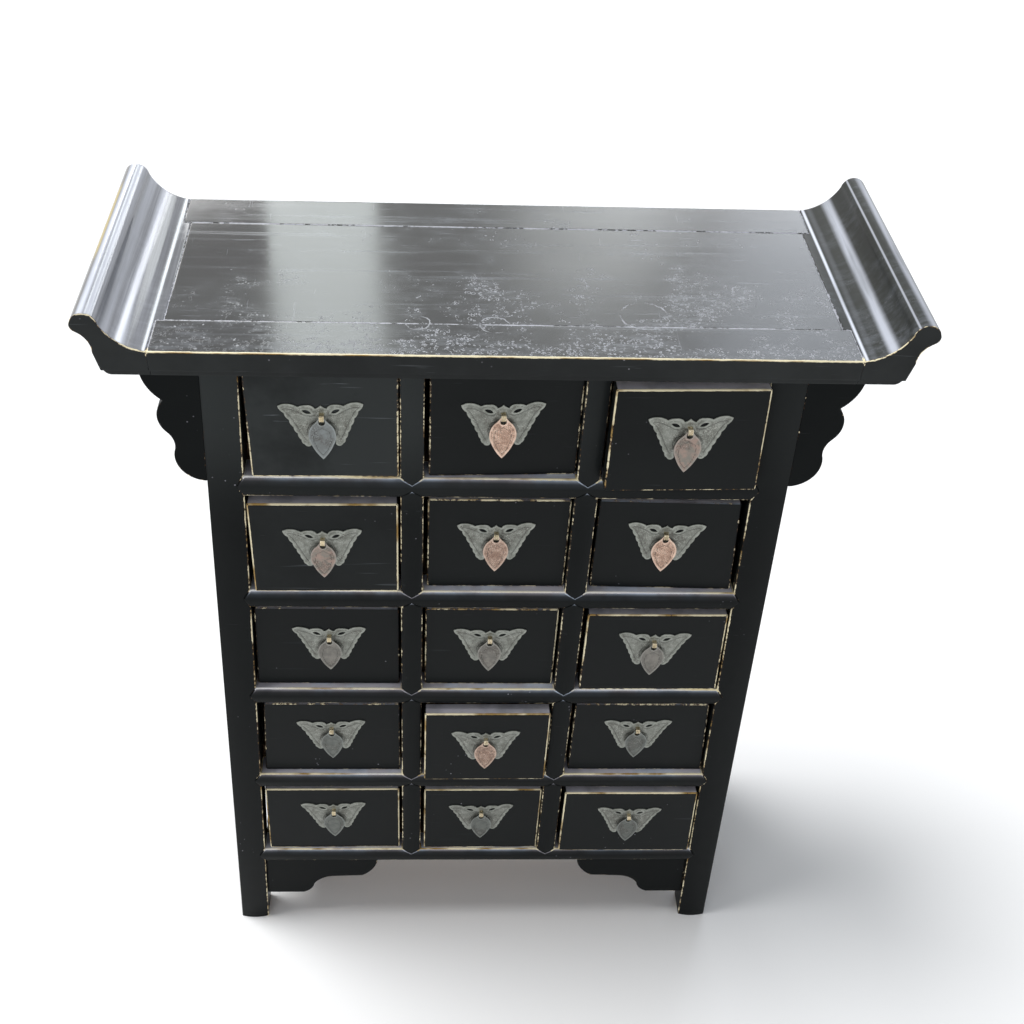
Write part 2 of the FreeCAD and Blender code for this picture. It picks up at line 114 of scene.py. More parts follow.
# The plane of the pale panels that the top reflects
WINDOW_Y = 2.37

# Colours, as Blender reads them (linear)
LACQUER = (0.0040, 0.0052, 0.0054, 1)
LACQUER_GREEN = (0.006, 0.007, 0.004, 1)
LACQUER_GREY = (0.032, 0.036, 0.036, 1)
SCRATCH = (0.12, 0.13, 0.14, 1)
SPECK = (0.45, 0.44, 0.50, 1)
BRUSHED = (0.17, 0.185, 0.21, 1)
HAIR = (0.30, 0.31, 0.35, 1)
SCUFF = (0.62, 0.64, 0.70, 1)
# The left scroll's painted sheen
SCROLL_SHEEN = (0.62, 0.65, 0.74, 1)
# Painted reflections on the scrolls, and worn lines by their joints
SHEEN_AND_WEAR_SILVER = (0.80, 0.84, 0.95, 1)
OLIVE = (0.075, 0.070, 0.055, 1)
GOLD = (0.50, 0.38, 0.10, 1)
WORN_CREAM = (1.0, 0.90, 0.62, 1)
WORN_GOLD = (0.42, 0.27, 0.09, 1)
WORN_BROWN = (0.085, 0.040, 0.018, 1)
WORN_PALE = (0.46, 0.47, 0.52, 1)
WORN_WHITE = (0.95, 0.94, 0.93, 1)
# Dust on ledges, and the pale side of the painted sheen
DUST_AND_SHEEN = (0.62, 0.60, 0.66, 1)
# The blue side of the painted sheen on the frame's rounded faces
SHEEN_BLUE = (0.72, 0.82, 0.98, 1)
RAW_WOOD = (0.36, 0.24, 0.14, 1)
RAW_WOOD_DARK = (0.20, 0.12, 0.065, 1)
WOOD_PORE = (0.10, 0.06, 0.03, 1)
WOOD_STAIN = (0.05, 0.032, 0.020, 1)
WOOD_EDGE = (0.03, 0.018, 0.010, 1)
METAL_CUT = (0.06, 0.045, 0.035, 1)
METAL_GRIME = (0.03, 0.03, 0.025, 1)

# The plates' and the staples' light, dark and rim colours; the rim colour is for painted highlights and
# glints
PEWTER = ((0.33, 0.345, 0.31, 1), (0.18, 0.19, 0.165, 1), (0.60, 0.62, 0.54, 1))
BRASS = ((0.66, 0.56, 0.38, 1), (0.40, 0.33, 0.20, 1), (0.90, 0.86, 0.74, 1))

# A leaf pull's looks: its light, its dark and its rim colour for painted highlights and glints, and how
# evenly it is engraved
GREY_LEAF = ((0.22, 0.24, 0.24, 1), (0.15, 0.16, 0.155, 1), (0.42, 0.45, 0.44, 1), 0.0)
COPPER_LEAF = ((0.80, 0.56, 0.43, 1), (0.46, 0.28, 0.20, 1), (0.90, 0.78, 0.66, 1), 1.0)
DULL_COPPER_LEAF = ((0.58, 0.41, 0.32, 1), (0.33, 0.205, 0.15, 1), (0.70, 0.61, 0.52, 1), 1.0)
PINK_LEAF = ((0.36, 0.26, 0.215, 1), (0.21, 0.20, 0.172, 1), (0.45, 0.43, 0.40, 1), -0.5)
BROWN_LEAF = ((0.24, 0.225, 0.20, 1), (0.14, 0.135, 0.12, 1), (0.42, 0.42, 0.39, 1), 0.1)
DARK_LEAF = ((0.16, 0.17, 0.155, 1), (0.10, 0.11, 0.10, 1), (0.38, 0.40, 0.38, 1), 0.0)
LEAF_LOOKS = {
    "r1c1": GREY_LEAF, "r1c2": COPPER_LEAF, "r1c3": PINK_LEAF,
    "r2c1": PINK_LEAF, "r2c2": DULL_COPPER_LEAF, "r2c3": COPPER_LEAF,
    "r3c1": BROWN_LEAF, "r3c2": BROWN_LEAF, "r3c3": BROWN_LEAF,
    "r4c1": DARK_LEAF, "r4c2": DULL_COPPER_LEAF, "r4c3": DARK_LEAF,
    "r5c1": DARK_LEAF, "r5c2": DARK_LEAF, "r5c3": DARK_LEAF,
}

# How worn each drawer front's edges are: top, bottom, left, right. Then how grey its lacquer is, raised at
# r1c1 and r2c1 by a painted sheen.
FRONTS = {
    "r1c1": (0.55, 0.85, 0.85, 1.0, 1.35),
    "r1c2": (0.60, 0.62, 0.80, 1.0, 0.15),
    "r1c3": (1.05, 0.70, 0.95, 0.75, 0.15),
    "r2c1": (1.35, 0.95, 0.95, 1.00, 0.40),
    "r2c2": (0.78, 0.65, 0.85, 0.80, 0.15),
    "r2c3": (0.40, 0.60, 0.75, 0.90, 0.15),
    "r3c1": (0.45, 0.50, 0.90, 0.60, 0.10),
    "r3c2": (0.80, 0.75, 0.85, 0.90, 0.15),
    "r3c3": (1.00, 0.70, 0.95, 0.85, 0.15),
    "r4c1": (0.50, 0.55, 0.95, 0.80, 0.15),
    "r4c2": (1.10, 0.85, 0.95, 0.80, 0.15),
    "r4c3": (0.55, 0.55, 0.80, 1.00, 0.15),
    "r5c1": (1.05, 0.90, 1.00, 0.95, 0.15),
    "r5c2": (1.05, 0.85, 0.90, 1.00, 0.15),
    "r5c3": (1.05, 0.80, 1.00, 0.95, 0.20),
}

# Rings where cups stood on the top: the middle's x and y, and the radius
RING_MARKS = ((-0.012, -0.091, 0.014), (0.136, -0.071, 0.024),
              (0.247, -0.024, 0.016), (-0.086, -0.089, 0.012))

# Painted reflections streaking along the scrolls, the last of each a worn pale line by the joint: the
# middle's x, the half width and how pale
LEFT_BANDS = ((-0.3605, 0.0050, 0.75), (-0.3720, 0.0048, 0.50), (-0.3835, 0.0042, 0.65),
              (-0.3910, 0.0040, 0.90), (-0.3388, 0.0020, 0.90))
RIGHT_BANDS = ((0.3622, 0.0060, 0.60), (0.3455, 0.0040, 0.06), (0.3803, 0.0012, 0.45),
               (0.3930, 0.0060, 0.60), (0.3388, 0.0024, 0.90))

# Engraved lines, in millimetres: of a plate's right wing, from the middle between the plate's tips,
# and of a leaf's right half, from its hinge
WING_LINES = (
    ((6, -12), (10, -13.5), (15, -12.5), (21, -9), (29, -4.5), (36, -3.5)),
    ((37, -4.5), (32.5, -9.5), (28.3, -17.5), (24.6, -26.5), (21, -35), (17, -43)),
    ((7, -21), (12, -23), (15, -30), (13.5, -38)),
)
LEAF_LINES = (((0, -9), (7.5, -14), (9, -24), (5, -36), (0, -43)),)


class Shader:
    """The nodes of a material or a world. Most methods add a node and give back its output."""

    def __init__(self, owner):
        owner.use_nodes = True
        self.owner = owner
        self.tree = owner.node_tree
        self.tree.nodes.clear()

    def add(self, kind, inputs=None, **settings):
        node = self.tree.nodes.new(kind)
        for key, value in settings.items():
            setattr(node, key, value)
        for key, value in (inputs or {}).items():
            self.feed(node.inputs[key], value)
        return node

    def feed(self, socket, value):
        if isinstance(value, bpy.types.NodeSocket):
            self.tree.links.new(value, socket)
        else:
            socket.default_value = value

    @functools.cached_property
    def place(self):
        """The point on the object."""
        return self.add("ShaderNodeTexCoord").outputs["Object"]

    @functools.cached_property
    def axes(self):
        """The point's x, y and z."""
        return self.split(self.place)

    @functools.cached_property
    def facing(self):
        """How far the surface faces along x, y and z, each from -1 to 1."""
        return self.split(self.add("ShaderNodeNewGeometry").outputs["Normal"])

    def split(self, vector):
        return self.add("ShaderNodeSeparateXYZ", {0: vector}).outputs

    def vector(self, kind, a, b, out="Vector"):
        return self.add("ShaderNodeVectorMath", {0: a, 1: b}, operation=kind).outputs[out]

    def distance(self, a, b):
        return self.vector("DISTANCE", a, b, "Value")

    def moved(self, seed):
        """The point, carried off by an amount of its own, so that no two pieces show the same pattern."""
        return self.vector("ADD", self.place, (seed, seed * 0.37, -seed * 0.61))

    def stretched(self, scale, turn=(0, 0, 0)):
        node = self.add("ShaderNodeMapping", {"Vector": self.place, "Scale": scale, "Rotation": turn})
        return node.outputs["Vector"]

    def noise(self, scale, stretch=None, detail=4.0, rough=0.55, distort=0.0, at=None):
        if at is None:
            at = self.stretched(stretch) if stretch else self.place
        inputs = {"Vector": at, "Scale": scale, "Detail": detail, "Roughness": rough, "Distortion": distort}
        return self.add("ShaderNodeTexNoise", inputs).outputs["Fac"]

    def cells(self, at, scale, feature="F1", output="Distance"):
        node = self.add("ShaderNodeTexVoronoi", {"Vector": at, "Scale": scale}, feature=feature)
        return node.outputs[output]

    def math(self, kind, a, b=0.0):
        return self.add("ShaderNodeMath", {0: a, 1: b}, operation=kind).outputs[0]

    def times(self, *values):
        return functools.reduce(functools.partial(self.math, "MULTIPLY"), values)

    def plus(self, a, b):
        return self.math("ADD", a, b)

    def less(self, a, b):
        return self.math("SUBTRACT", a, b)

    def apart(self, a, b):
        """How far two values lie apart."""
        return self.math("ABSOLUTE", self.less(a, b))

    def most(self, a, b):
        return self.math("MAXIMUM", a, b)

    def between(self, value, low, high, to_low=0.0, to_high=1.0):
        """value, carried smoothly from low..high to to_low..to_high."""
        inputs = {"Value": value, "From Min": low, "From Max": high, "To Min": to_low, "To Max": to_high}
        return self.add("ShaderNodeMapRange", inputs, interpolation_type="SMOOTHSTEP").outputs["Result"]

    def mix(self, amount, a, b):
        """The colour a, with an amount of b over it."""
        return self.add("ShaderNodeMix", {0: amount, 6: a, 7: b}, data_type="RGBA").outputs[2]

    def wear(self):
        """How worn the mesh is, from 0 to about 1."""
        return self.add("ShaderNodeAttribute", attribute_name="wear").outputs["Fac"]

    def worn(self, chips, broad):
        """Where the arrises are worn through to the wood, and the rubbed border around that."""
        reach = self.plus(self.times(self.wear(), 0.75), self.between(chips, 0.3, 0.75, -0.24, 0.22))
        reach = self.plus(reach, self.between(broad, 0.3, 0.7, -0.16, 0.14))
        return self.between(reach, 0.42, 0.54), self.between(reach, 0.30, 0.48)

    def bump(self, height, distance, strength, under=None):
        inputs = {"Height": height, "Distance": distance, "Strength": strength}
        if under is not None:
            inputs["Normal"] = under
        return self.add("ShaderNodeBump", inputs).outputs["Normal"]

    def finish(self, color, **inputs):
        """The finished material, given the Principled shader's inputs."""
        named = {"Base Color": color}
        named.update({key.replace("_", " "): value for key, value in inputs.items()})
        surface = self.add("ShaderNodeBsdfPrincipled", named).outputs[0]
        self.add("ShaderNodeOutputMaterial", {"Surface": surface})
        return self.owner


def new_material(name):
    return Shader(bpy.data.materials.new(name))


def fine_scratches(s):
    """Thin scratches in two directions."""
    one = s.noise(55.0, stretch=(0.12, 6.0, 2.2), detail=2.0)
    other = s.noise(60.0, detail=2.0, at=s.stretched((0.35, 3.0, 7.0), (0.3, 0.8, 0.2)))
    return s.most(s.between(one, 0.70, 0.78), s.between(other, 0.71, 0.80))


def pale_specks(s, where):
    """Small pale specks, in loose groups."""
    specks = s.between(s.cells(where, 110.0), 0.12, 0.05)
    return s.times(specks, s.between(s.noise(14.0, detail=2.0, at=where), 0.60, 0.70))


def lacquer(name, seed, grey_and_sheen, gloss=0.36, shine=0.10, dust=0.9, painted_sheen=0.5, high=0.0):
    """Old black lacquer: worn through along its arrises, scuffed on its faces, dusty on its ledges, and with
    a painted sheen where its rounded faces tilt up.

    high is how much greyer and paler it gets near the top of the cabinet, at the left most of all; the grey
    there is a painted sheen."""
    s = new_material(name)
    where = s.moved(seed)
    up = s.facing["Z"]
    cloud = s.noise(9.0, detail=5.0, rough=0.6, at=where)
    chips = s.noise(190.0, detail=4.0, rough=0.7, at=where)
    broad = s.noise(24.0, detail=3.0, at=where)
    worn, rubbed = s.worn(chips, broad)
    scratches = fine_scratches(s)

    grey = s.between(cloud, 0.30, 0.70, 0.3 * grey_and_sheen, grey_and_sheen)
    wood = s.mix(s.between(broad, 0.38, 0.56), WORN_GOLD, WORN_CREAM)
    edge = 1.0
    if high:
        # Painted sheen: the lacquer greyer towards the top, most at the left
        rise = s.between(s.axes["Z"], *HIGH_Z, 0.0, high)
        grey = s.plus(grey, s.times(rise, s.between(s.axes["X"], *HIGH_X, 0.3, 1.0)))
        white = s.between(s.noise(5.0, detail=1.0, at=where), 0.44, 0.58)
        wood = s.mix(s.times(white, s.between(up, 0.15, 0.4)), wood, WORN_WHITE)
        edge = s.between(s.axes["Y"], *LEDGE_Y, 0.25, 1.0)
    color = s.mix(grey, LACQUER, LACQUER_GREY)
    color = s.mix(s.times(scratches, grey_and_sheen), color, SCRATCH)
    color = s.mix(s.times(pale_specks(s, where), 0.7), color, SPECK)

    # Painted highlight: a pale blue-white sheen where rounded faces tilt up, fading down them, patchy and
    # left off the mitres; dust lies on the ledges
    dust_and_sheen_patches = s.between(s.noise(30.0, detail=5.0, at=where), 0.32, 0.60, 0.60, 1.0)
    tilt = s.between(up, 0.16, 0.42)
    level = s.between(s.math("ABSOLUTE", s.facing["X"]), 0.25, 0.08)
    sheen = s.plus(s.times(tilt, tilt), s.between(up, 0.0, 0.34, 0.0, 0.06))
    sheen = s.times(sheen, dust_and_sheen_patches, painted_sheen, level)
    ledge = s.times(s.between(up, 0.86, 0.98), dust_and_sheen_patches, dust, edge)
    color = s.mix(sheen, color, s.mix(s.between(cloud, 0.45, 0.55), DUST_AND_SHEEN, SHEEN_BLUE))
    color = s.mix(ledge, color, DUST_AND_SHEEN)
    color = s.mix(rubbed, color, WORN_BROWN)
    color = s.mix(worn, color, wood)

    roughness = s.between(cloud, 0.3, 0.7, gloss - 0.05, gloss + 0.10)
    roughness = s.plus(roughness, s.times(s.most(scratches, s.most(worn, ledge)), 0.3))
    fine = s.noise(420.0, detail=3.0, at=where)
    grain = s.noise(70.0, stretch=(0.2, 1.0, 1.0), detail=3.0)
    normal = s.bump(grain, 0.00006, 0.5, s.bump(fine, 0.00002, 0.5))
    normal = s.bump(s.less(1.0, worn), 0.0002, 0.5, normal)
    shine = s.between(up, -0.35, 0.0, 0.5 * shine, shine)
    return s.finish(color, Roughness=roughness, Normal=normal, Specular_IOR_Level=shine)


def crossed_hairs(s):
    """Hair-thin lines, one set along the top and one across it."""
    one = s.noise(60.0, detail=2.0, at=s.stretched((0.30, 5.0, 1.0), (0, 0, 0.5)))
    other = s.noise(60.0, detail=2.0, at=s.stretched((5.0, 0.3, 1.0), (0, 0, 0.3)))
    return s.most(s.between(one, 0.70, 0.76), s.between(other, 0.71, 0.78))


def shaky_plan(s):
    """The point as seen from above, shaken by up to SHAKE, so that nothing drawn with it is quite round."""
    shake = s.add("ShaderNodeTexNoise", {"Vector": s.place, "Scale": 150.0, "Detail": 2.0}).outputs["Color"]
    shake = s.vector("MULTIPLY", shake, (SHAKE, SHAKE, 0.0))
    return s.vector("MULTIPLY", s.vector("ADD", shake, s.place), (1.0, 1.0, 0.0))


def scuffs(s, plan, front, patches):
    """Lacy curls and specks, in patches, most of them towards the front and not at the left."""
    size = s.between(s.split(s.cells(plan, 250.0, output="Color"))["X"], 0.0, 1.0, 0.22, 0.46)
    lace = s.between(s.apart(s.cells(plan, 250.0), size), 0.11, 0.04)
    lace = s.times(lace, s.between(patches, 0.58, 0.64), s.between(s.noise(150.0, detail=3.0), 0.42, 0.52))
    lace = s.times(lace, s.between(front, 0.0, 0.35), s.between(s.axes["X"], *SCUFF_X, 0.25, 1.0))
    specks = s.between(s.cells(plan, 150.0), 0.20, 0.10)
    specks = s.times(specks, s.between(patches, 0.53, 0.66), s.between(s.noise(60.0, detail=2.0), 0.42, 0.6))
    return s.most(lace, specks)


def cup_rings(s, plan):
    """Thin, broken rings, moved on by half of SHAKE, as the shaken plan is on average."""
    lines = 0.0
    for x, y, radius in RING_MARKS:
        off = s.apart(s.distance(plan, (x + SHAKE / 2, y + SHAKE / 2, 0.0)), radius)
        lines = s.most(lines, s.between(off, 0.0009, 0.0003))
    return s.times(lines, s.between(s.noise(55.0, detail=3.0), 0.40, 0.56))


def add_painted_sheen(s, color, painted_sheen, upper):
    """A pale, streaky painted sheen on the left scroll, weaker where the scroll begins."""
    streaks = s.noise(34.0, stretch=(3.4, 0.08, 3.4), detail=5.0, rough=0.65)
    streaks = s.between(streaks, 0.36, 0.66, 0.50, 1.0)
    streaks = s.times(streaks, s.between(s.axes["X"], *SCROLL_SHEEN_X, 0.45, 1.0), painted_sheen, upper)
    return s.mix(streaks, color, SCROLL_SHEEN)


def add_bands(s, color, bands, upper):
    """Pale streaks along the depth, painted reflections but for a worn line, each as its middle's x, its
    half width and how pale it is.
    """
    glow = 0.0
    for middle, half, pale in bands:
        glow = s.most(glow, s.between(s.apart(s.axes["X"], middle), half, 0.15 * half, 0.0, pale))
    uneven = s.between(s.noise(60.0, stretch=(1.6, 0.10, 1.6), detail=4.0), 0.30, 0.60, 0.55, 1.0)
    return s.mix(s.times(glow, upper, uneven), color, SHEEN_AND_WEAR_SILVER)


def add_gold(s, color, gold, upper):
    """An olive strip along the left scroll's outer edge, and gold on most of its rear half."""
    strip = s.times(s.between(s.axes["X"], *STRIP_X), upper)
    color = s.mix(s.times(strip, 0.8), color, OLIVE)
    golden = s.times(strip, s.between(s.axes["Y"], *GOLD_FRONT_Y), s.between(s.axes["Y"], *GOLD_BACK_Y))
    return s.mix(s.times(golden, gold), color, GOLD)


def top_lacquer(name, tint=LACQUER, gloss=0.06, shine=0.8, scuffed=1.0, brushed=0.34,
                painted_sheen=0.0, bands=(), gold=0.0):
    """The top's lacquer, rubbed along its length, with lacy scuffs, and rings where things stood.

    painted_sheen, bands and gold are for the scrolled ends; the sheen and all but the last of each scroll's
    bands are painted reflections."""
    s = new_material(name)
    cloud = s.noise(6.0, stretch=(0.6, 1.4, 1.0), detail=5.0, rough=0.6)
    chips = s.noise(170.0, detail=4.0, rough=0.7)
    broad = s.noise(20.0, detail=3.0)
    worn, rubbed = s.worn(chips, broad)

    streaks = s.between(s.noise(30.0, stretch=(0.10, 3.2, 1.0), detail=6.0, rough=0.72), 0.50, 0.74)
    front = s.between(s.axes["Y"], *SCUFF_Y)
    patches = s.plus(s.noise(16.0, detail=5.0, rough=0.70), s.times(front, 0.11))
    patches = s.plus(patches, s.between(s.axes["Y"], *FRONT_SCUFF_Y, 0.0, 0.12))
    fog = s.between(s.noise(90.0, stretch=(0.4, 1.6, 1.0), detail=5.0), 0.3, 0.75)
    fog = s.times(s.between(patches, 0.42, 0.78), fog)
    plan = shaky_plan(s)
    marks = s.times(s.most(scuffs(s, plan, front, patches), cup_rings(s, plan)), scuffed)

    color = s.mix(s.between(cloud, 0.35, 0.75, 0.0, 0.4), tint, LACQUER_GREY)
    color = s.mix(s.plus(s.times(streaks, brushed), s.times(fog, 0.42)), color, BRUSHED)
    upper = s.between(s.facing["Z"], 0.05, 0.35)
    if painted_sheen:
        color = add_painted_sheen(s, color, painted_sheen, upper)
    if bands:
        color = add_bands(s, color, bands, upper)
    if gold:
        color = add_gold(s, color, gold, upper)
    color = s.mix(s.times(crossed_hairs(s), 0.65 * brushed), color, HAIR)
    color = s.mix(s.times(marks, 0.50), color, SCUFF)
    joint = s.between(s.axes["Y"], *JOINT_Y)
    color = s.mix(rubbed, color, s.mix(joint, WORN_BROWN, color))
    color = s.mix(worn, color, s.mix(joint, WORN_CREAM, WORN_PALE))

    roughness = s.between(cloud, 0.3, 0.7, gloss, gloss + 0.05)
    roughness = s.plus(roughness, s.between(s.axes["X"], *ROUGH_X, 0.0, 0.13))
    roughness = s.plus(roughness, s.times(s.most(streaks, fog), 0.10))
    roughness = s.plus(roughness, s.times(s.most(marks, worn), 0.35))
    grain = s.noise(50.0, stretch=(0.12, 1.6, 1.0), detail=4.0)
    normal = s.bump(grain, 0.00010, 0.4)
    normal = s.bump(s.less(1.0, s.most(worn, marks)), 0.00015, 0.5, normal)
    return s.finish(color, Roughness=roughness, Normal=normal, Specular_IOR_Level=shine)


def bare_wood(name, stretch, dark=0.0):
    """Unfinished wood, with its grain along one axis, darker at its edges."""
    s = new_material(name)
    rings = s.noise(130.0, stretch=stretch, detail=8.0, rough=0.68, distort=0.3)
    pores = s.noise(700.0, stretch=stretch, detail=3.0)
    stain = s.noise(7.0, detail=4.0)
    color = s.mix(s.between(rings, 0.3, 0.7), RAW_WOOD_DARK, RAW_WOOD)
    color = s.mix(s.between(pores, 0.6, 0.8, 0.0, 0.5), color, WOOD_PORE)
    color = s.mix(s.between(stain, 0.35, 0.75, dark, dark + 0.35), color, WOOD_STAIN)
    color = s.mix(s.between(s.wear(), 0.1, 0.8, 0.0, 0.85), color, WOOD_EDGE)
    roughness = s.between(rings, 0.2, 0.8, 0.62, 0.80)
    normal = s.bump(pores, 0.00015, 0.6, s.bump(rings, 0.0003, 0.4))
    return s.finish(color, Roughness=roughness, Normal=normal, Specular_IOR_Level=0.25)


def aged_metal(name, light, dark, rim, seed, engraved=0.0, metal=0.5, shown=0.3):
    """Thin brass, dulled in its hollows, with a painted highlight where it stands proud.

    engraved is how evenly fine lines and flecks, painted glints, cover it, and shown is how strong the
    painted highlight on its edges is."""
    s = new_material(name)
    where = s.moved(seed)
    edge = s.wear()
    mottle = s.noise(150.0, detail=5.0, rough=0.65, at=where)
    patches = s.between(s.noise(42.0, detail=2.0, at=where), 0.47, 0.56)
    carved = s.plus(s.times(patches, 1.0 - engraved), engraved)
    carved = s.times(s.between(edge, 0.30, 0.05), carved)
    cuts = s.between(s.cells(where, 520.0, feature="DISTANCE_TO_EDGE"), 0.16, 0.03)
    cuts = s.times(cuts, carved)
    # Painted glints: pale flecks as if raised bits caught the light
    glint_flecks = s.times(s.between(s.cells(where, 600.0), 0.34, 0.16), carved, s.between(mottle, 0.48, 0.60))

    color = s.mix(s.between(mottle, 0.32, 0.68), dark, light)
    color = s.mix(s.times(cuts, 0.6), color, METAL_CUT)
    color = s.mix(s.times(glint_flecks, 0.9), color, rim)
    # Painted highlight: paler along the raised edges
    rim_highlight = s.between(s.plus(edge, s.between(mottle, 0.3, 0.7, -0.25, 0.15)), 0.30, 0.85)
    color = s.mix(s.times(rim_highlight, shown), color, rim)
    color = s.mix(s.between(edge, -0.1, -0.9, 0.0, 0.6), color, METAL_GRIME)
    roughness = s.between(mottle, 0.3, 0.7, 0.56 - 0.4 * metal, 0.72 - 0.4 * metal)
    fine = s.noise(900.0, detail=3.0, at=where)
    normal = s.bump(s.less(1.0, cuts), 0.00015, 0.8, s.bump(fine, 0.00003, 0.5))
    return s.finish(color, Metallic=metal, Roughness=roughness, Normal=normal)


def verts_of(faces):
    """The faces' vertices, each once."""
    return list(dict.fromkeys(vert for face in faces for vert in face.verts))


def edges_of(faces):
    """The faces' edges, each once."""
    return list(dict.fromkeys(edge for face in faces for edge in face.edges))


def rim_of(faces):
    """The edges between these faces and others."""
    inside = set(faces)
    return [edge for edge in edges_of(faces) if not all(face in inside for face in edge.link_faces)]


def keep_in(verts, low, high):
    for vert in verts:
        vert.co = [min(max(vert.co[i], low[i]), high[i]) for i in range(3)]


def smooth_regions(mesh, leave_out, turn):
    """The faces outside leave_out, in groups that meet at less than turn."""
    left = set(mesh.faces) - leave_out
    groups = []
    for first in mesh.faces:
        if first not in left:
            continue
        left.remove(first)
        group, todo = [], [first]
        while todo:
            face = todo.pop()
            group.append(face)
            for edge in face.edges:
                if not edge.is_manifold or edge.calc_face_angle(0) > turn:
                    continue
                for other in edge.link_faces:
                    if other in left:
                        left.remove(other)
                        todo.append(other)
        groups.append(group)
    return groups


def islands(mesh):
    """The mesh's faces, in groups that touch."""
    return smooth_regions(mesh, set(), 2 * math.pi)


def copy_of(node):
    """A welded bmesh of a CAD node, with its flat faces whole."""
    mesh = bmesh.new()
    mesh.from_mesh(frame["nodes"][node].data)
    bmesh.ops.remove_doubles(mesh, verts=mesh.verts, dist=2e-6)
    bmesh.ops.dissolve_limit(mesh, angle_limit=math.radians(0.8), verts=mesh.verts, edges=mesh.edges)
    bmesh.ops.recalc_face_normals(mesh, faces=mesh.faces)
    return mesh


def round_and_wear(mesh, radius, ring, gain=lambda at: 1.0, segments=2, even=True):
    """Rounds the convex arrises, and sets a narrow ring of faces inside each wide region's edge.

    The arrises' vertices are as worn as gain says, and all others aren't worn."""
    wear = mesh.verts.layers.float.new("wear")
    arrises = [e for e in mesh.edges if e.is_manifold and e.is_convex and e.calc_face_angle(0) > SHARP_TURN]
    made = bmesh.ops.bevel(mesh, geom=arrises, offset=radius, segments=segments, profile=0.5,
                           affect="EDGES", clamp_overlap=True)
    rounded = set(made["faces"])
    for group in smooth_regions(mesh, rounded, SHARP_TURN):
        area = sum(face.calc_area() for face in group)
        around = sum(edge.calc_length() for edge in rim_of(group))
        if 2 * area / around < 3 * ring:
            continue
        corners = [vert.co.copy() for vert in verts_of(group)]
        low = [min(corner[i] for corner in corners) for i in range(3)]
        high = [max(corner[i] for corner in corners) for i in range(3)]
        bmesh.ops.inset_region(mesh, faces=group, thickness=ring, use_boundary=True, use_even_offset=even)
        keep_in(verts_of(group), low, high)
    for vert in verts_of(face for face in mesh.faces if face in rounded):
        vert[wear] = gain(vert.co)


def piece(name, mesh, body, materials, node):
    """Makes the finished object of a bmesh, riding its body in place of its CAD node."""
    data = bpy.data.meshes.new(name)
    for face in mesh.faces:
        face.smooth = True
    for edge in mesh.edges:
        edge.smooth = edge.is_manifold and edge.calc_face_angle(0) < SMOOTH_TURN
    mesh.to_mesh(data)
    mesh.free()
    for material in materials:
        data.materials.append(material)
    obj = bpy.data.objects.new(name, data)
    bpy.context.scene.collection.objects.link(obj)
    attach(obj, body)
    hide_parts(node)


def make_camera():
    level = math.cos(CAMERA_PITCH)
    ahead = Vector((math.sin(CAMERA_YAW) * level, math.cos(CAMERA_YAW) * level, math.sin(CAMERA_PITCH)))
    right = Vector((math.cos(CAMERA_YAW), -math.sin(CAMERA_YAW), 0))
    up = right.cross(ahead)
    across = math.cos(CAMERA_ROLL) * right + math.sin(CAMERA_ROLL) * up
    upward = math.cos(CAMERA_ROLL) * up - math.sin(CAMERA_ROLL) * right
    data = bpy.data.cameras.new("camera")
    data.sensor_width = 36.0
    data.lens = FOCAL_LENGTH * data.sensor_width / PHOTO_SIDE
    data.shift_x = (PHOTO_SIDE / 2 - AXIS_PIXEL[0]) / PHOTO_SIDE
    data.shift_y = (AXIS_PIXEL[1] - PHOTO_SIDE / 2) / PHOTO_SIDE
    data.clip_end = 100
    camera = bpy.data.objects.new("camera", data)
    turn = Matrix((across, upward, -ahead)).transposed().to_4x4()
    camera.matrix_world = Matrix.Translation(CAMERA_PLACE) @ turn
    bpy.context.scene.collection.objects.link(camera)
    bpy.context.scene.camera = camera


def make_sun(towards, strength, spread):
    data = bpy.data.lights.new("soft_sun", "SUN")
    data.energy = strength
    data.angle = math.radians(spread)
    sun = bpy.data.objects.new("soft_sun", data)
    sun.rotation_euler = Vector(towards).to_track_quat("-Z", "Y").to_euler()
    bpy.context.scene.collection.objects.link(sun)


def make_lamp(name, place, aim, size, radiance, color=(1, 1, 1), shape="RECTANGLE"):
    """A glowing panel that only reflections and the surfaces it lights show."""
    data = bpy.data.lights.new(name, "AREA")
    data.shape = shape
    data.size, data.size_y = size
    data.energy = radiance * math.pi * size[0] * size[1]
    data.color = color
    lamp = bpy.data.objects.new(name, data)
    lamp.location = place
    lamp.rotation_euler = (Vector(aim) - Vector(place)).to_track_quat("-Z", "Y").to_euler()
    lamp.visible_camera = False
    bpy.context.scene.collection.objects.link(lamp)


def seen(s):
    """One for rays that show the background: the camera's, and what glossy or clear surfaces send on."""
    path = s.add("ShaderNodeLightPath").outputs
    return s.most(s.most(path["Is Camera Ray"], path["Is Glossy Ray"]), path["Is Transmission Ray"])


def make_world(strength):
    """A soft sky for light, which is white where it is seen."""
    world = bpy.data.worlds.new("studio")
    s = Shader(world)
    white = s.add("ShaderNodeBackground", {"Color": (1, 1, 1, 1), "Strength": 1.0}).outputs[0]
    soft = s.add("ShaderNodeBackground", {"Color": (0.93, 0.96, 1.0, 1), "Strength": strength}).outputs[0]
    both = s.add("ShaderNodeMixShader", {0: seen(s), 1: soft, 2: white}).outputs[0]
    s.add("ShaderNodeOutputWorld", {"Surface": both})
    bpy.context.scene.world = world


